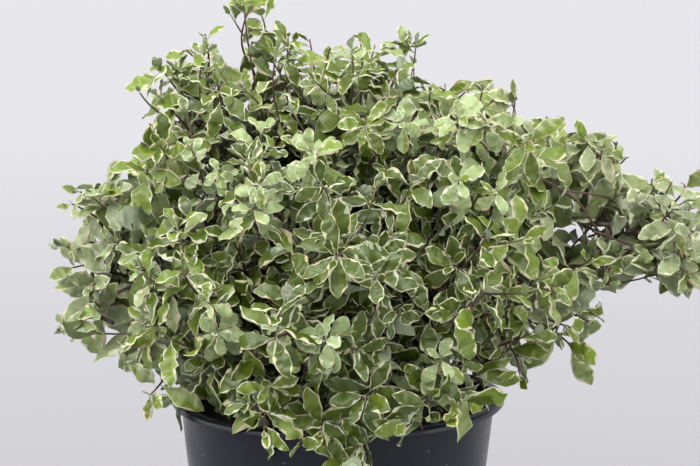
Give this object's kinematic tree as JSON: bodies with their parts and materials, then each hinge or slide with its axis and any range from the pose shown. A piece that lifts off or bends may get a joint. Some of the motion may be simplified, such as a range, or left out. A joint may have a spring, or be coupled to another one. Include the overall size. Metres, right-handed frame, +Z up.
{
  "type": "potted evergreen shrub",
  "caption": "Dense rounded evergreen shrub with small wavy cream-edged leaves on dark stems, growing in a round tapered nursery pot with a rolled rim.",
  "frame": {"origin": "middle of the pot's flat underside, on the floor", "axes": "+Z up, +X to the right as the picture sees the plant, +Y away from the viewer"},
  "size_m": [0.5347, 0.3961, 0.5222],
  "materials": {
    "pot_plastic": "satin dark blue-grey moulded plastic",
    "potting_soil": "crumbly dark potting compost",
    "bark": "smooth dark purple-brown bark",
    "foliage": "glossy grey-green leaves with cream edges"
  },
  "bodies": {
    "root": {"flank_bough_1": "bark", "flank_bough_2": "bark", "flank_bough_3": "bark", "flank_bough_4": "bark", "flank_foliage_1": "foliage", "flank_foliage_2": "foliage", "flank_foliage_3": "foliage", "flank_foliage_4": "foliage", "flank_foliage_5": "foliage", "flank_foliage_6": "foliage", "flank_foliage_7": "foliage", "flank_foliage_8": "foliage", "leader_spray": "foliage", "left_spray": "foliage", "lower_left_spray": "foliage", "lower_left_stem": "bark", "lower_right_spray": "foliage", "pot": "pot_plastic", "right_spray": "foliage", "right_stem": "bark", "shoulder_bough_1": "bark", "shoulder_bough_2": "bark", "shoulder_bough_3": "bark", "shoulder_foliage_1": "foliage", "shoulder_foliage_2": "foliage", "shoulder_foliage_3": "foliage", "shoulder_foliage_4": "foliage", "shoulder_foliage_5": "foliage", "shoulder_foliage_6": "foliage", "skirt_bough_1": "bark", "skirt_bough_2": "bark", "skirt_bough_3": "bark", "skirt_bough_4": "bark", "skirt_foliage_1": "foliage", "skirt_foliage_2": "foliage", "skirt_foliage_3": "foliage", "skirt_foliage_4": "foliage", "skirt_foliage_5": "foliage", "skirt_foliage_6": "foliage", "skirt_foliage_7": "foliage", "skirt_foliage_8": "foliage", "soil": "potting_soil", "stem": "bark", "top_bough_1": "bark", "top_foliage_1": "foliage", "top_foliage_2": "foliage", "top_foliage_3": "foliage", "top_left_spray": "foliage", "upper_left_spray": "foliage", "upper_right_spray": "foliage"}
  },
  "joints": []
}
